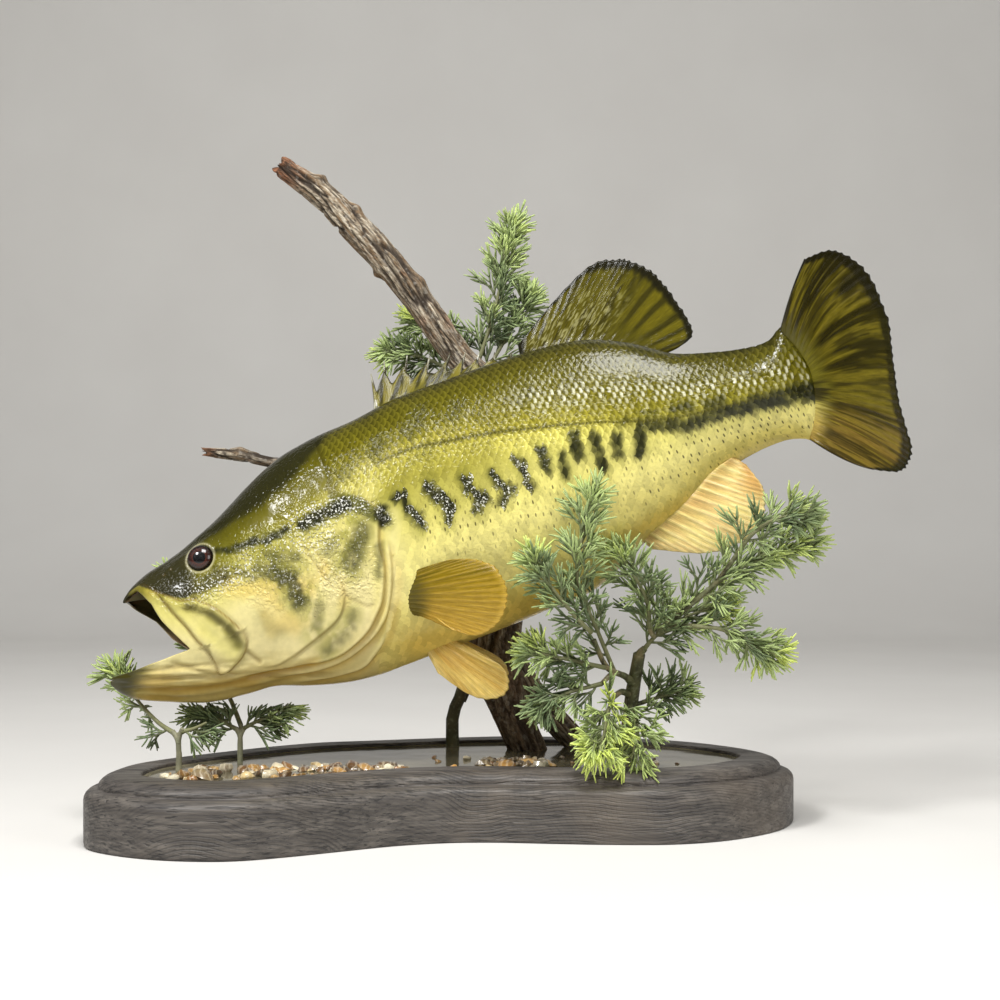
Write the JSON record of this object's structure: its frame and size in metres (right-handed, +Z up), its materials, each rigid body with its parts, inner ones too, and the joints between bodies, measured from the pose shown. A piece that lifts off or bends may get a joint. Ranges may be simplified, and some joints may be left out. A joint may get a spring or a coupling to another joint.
{
  "type": "mounted largemouth bass",
  "caption": "Taxidermy largemouth bass, mouth open and tail curled to the front, held by driftwood over a dark kidney-shaped wood base with resin water, gravel and artificial greenery.",
  "frame": {"origin": "centre of the flat underside of the wood base", "axes": "+Z up; the fish faces -X and shows its left flank to -Y, the front; +Y is the back"},
  "size_m": [0.4961, 0.2693, 0.4429],
  "materials": {
    "skin": "painted skin under high-gloss varnish",
    "fin_dark": "painted fin under gloss varnish",
    "fin_pale": "painted pale fin under gloss varnish",
    "eye": "polished glass eye",
    "board": "charcoal-stained oak, low sheen",
    "resin": "clear cast resin over grey",
    "gravel": "small tan and brown pebbles, wet look",
    "bark": "weathered driftwood, dull",
    "foliage": "soft plastic needles",
    "stem": "brown-green wire stem"
  },
  "bodies": {
    "root": {"maxilla_left": "skin", "gill_cover_left": "skin", "maxilla_right": "skin", "gill_cover_right": "skin", "head": "skin", "trunk": "skin", "tail": "skin", "lower_jaw": "skin", "eye_left": "eye", "eye_right": "eye", "caudal_fin": "fin_dark", "dorsal_fin_soft": "fin_dark", "dorsal_fin_spiny": "fin_dark", "anal_fin": "fin_pale", "pelvic_fin_left": "fin_pale", "pelvic_fin_right": "fin_pale", "pectoral_fin_left": "fin_dark", "pectoral_fin_right": "fin_dark", "base_board": "board", "base_water": "resin", "gravel_left": "gravel", "gravel_right": "gravel", "driftwood_trunk": "bark", "driftwood_limb": "bark", "driftwood_root": "bark", "driftwood_twig": "bark", "plant_back_stem": "stem", "plant_front_stem": "stem", "plant_low_stem_a": "stem", "plant_low_stem_b": "stem", "plant_back_top": "foliage", "plant_back_right": "foliage", "plant_back_left": "foliage", "plant_back_rise": "foliage", "plant_front_rise": "foliage", "plant_front_rise_b": "foliage", "plant_front_left": "foliage", "plant_front_low_left": "foliage", "plant_front_mid": "foliage", "plant_front_far": "foliage", "plant_front_out": "foliage", "plant_front_up": "foliage", "plant_front_tip": "foliage", "plant_front_drop": "foliage", "plant_front_drop_b": "foliage", "plant_front_side": "foliage", "plant_low_a_left": "foliage", "plant_low_a_mid": "foliage", "plant_low_b_left": "foliage", "plant_low_b_right": "foliage", "plant_mouth_back": "foliage"}
  },
  "joints": []
}
